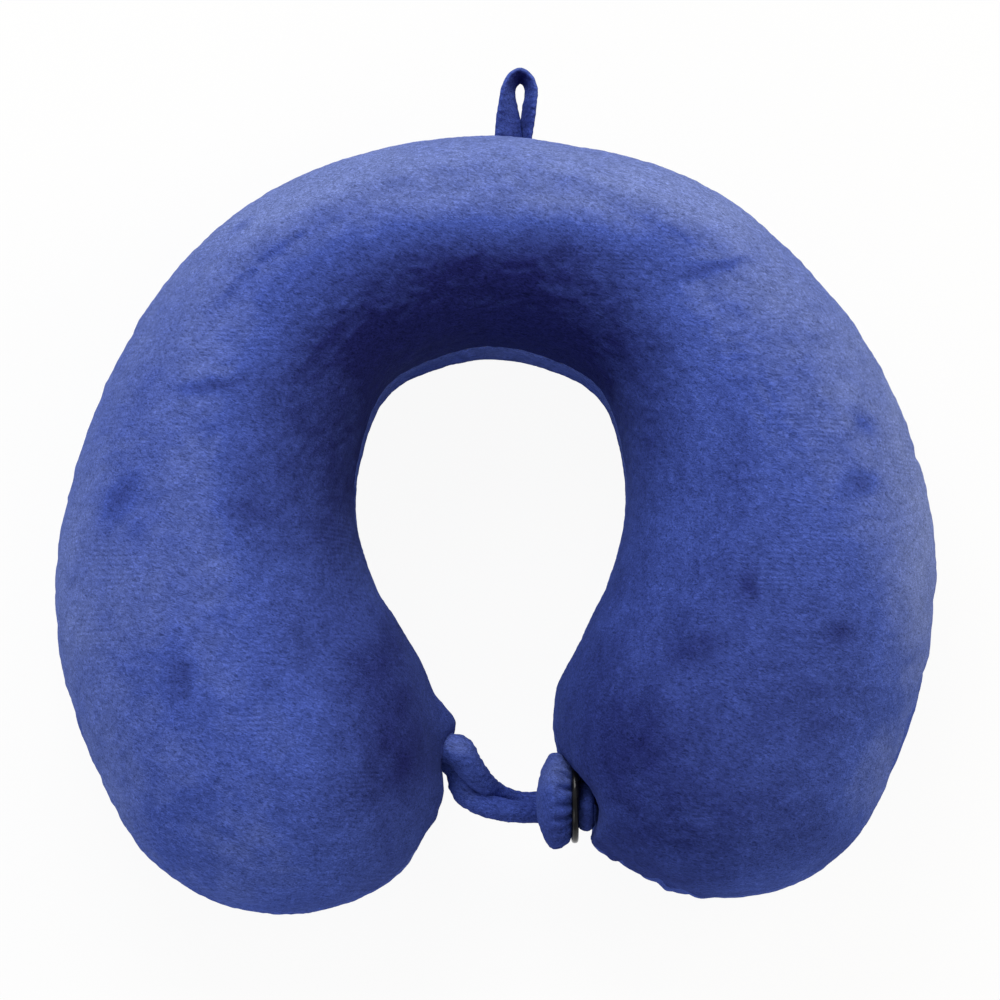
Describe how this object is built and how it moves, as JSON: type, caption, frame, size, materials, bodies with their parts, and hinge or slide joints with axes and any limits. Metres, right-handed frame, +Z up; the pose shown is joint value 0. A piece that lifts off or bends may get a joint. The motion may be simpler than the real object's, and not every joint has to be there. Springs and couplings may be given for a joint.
{
  "type": "travel neck pillow",
  "caption": "U-shaped travel neck pillow: moulded foam core in a zipped velour cover, with a hanging loop at the back and a stretch loop that buttons across the front.",
  "frame": {"origin": "centre of the pillow's outline on the surface it lies on, which is near the centre of the neck opening", "axes": "+Z up from the flat underside, +Y towards the back of the neck where the hang loop is, +X towards the lobe with the button"},
  "size_m": [0.3026, 0.2892, 0.1011],
  "materials": {
    "velour": "short-pile royal blue velour",
    "foam": "open-cell moulded foam",
    "thread": "polyester sewing thread",
    "elastic": "woven elastic cord",
    "dome": "moulded button former",
    "plate": "glossy black plastic",
    "zip_tape": "woven navy tape",
    "zip_teeth": "navy nylon",
    "zip_metal": "plated zinc"
  },
  "bodies": {
    "pillow": {"foam_core": "foam", "top_panel": "velour", "bottom_panel": "velour", "seam_thread": "thread", "button_thread": "thread", "zip_tape_front": "zip_tape", "zip_tape_back": "zip_tape", "zip_teeth_front": "zip_teeth", "zip_teeth_back": "zip_teeth", "zip_top_stop_front": "zip_metal", "zip_top_stop_back": "zip_metal", "zip_bottom_stop": "zip_metal"},
    "hang_loop": {"hang_loop": "velour"},
    "closure_loop": {"closure_loop_sleeve": "velour", "closure_loop_elastic": "elastic"},
    "button": {"button_cover": "velour", "button_dome": "dome", "button_back_plate": "plate"},
    "zip_slider": {"zip_slider": "zip_metal"},
    "zip_pull": {"zip_pull": "zip_metal"}
  },
  "joints": [
    {"name": "hang_loop_flop", "type": "hinge", "parent": "pillow", "child": "hang_loop", "pos_m": [0.00702, 0.12413, 0.046], "axis": [1, 0, 0], "range_deg": [-75, 75]},
    {"name": "closure_loop_swing", "type": "hinge", "parent": "pillow", "child": "closure_loop", "pos_m": [-0.01563, -0.08982, 0.046], "axis": [0, -1, 0], "range_deg": [0, 100], "deforming": ["closure_loop_sleeve", "closure_loop_elastic"]},
    {"name": "button_swivel", "type": "hinge", "parent": "pillow", "child": "button", "pos_m": [0.02923, -0.10782, 0.054], "axis": [1, 0, 0], "range_deg": [-90, 90]},
    {"name": "zip_travel", "type": "slide", "parent": "pillow", "child": "zip_slider", "axis": [1, 0, 0], "range_m": [-0.1, 0], "deforming": ["zip_teeth_front", "zip_teeth_back"]},
    {"name": "zip_pull_flip", "type": "hinge", "parent": "zip_slider", "child": "zip_pull", "pos_m": [0.05562, 0.07218, 0.0016], "axis": [0, -1, 0], "range_deg": [0, 150]}
  ]
}
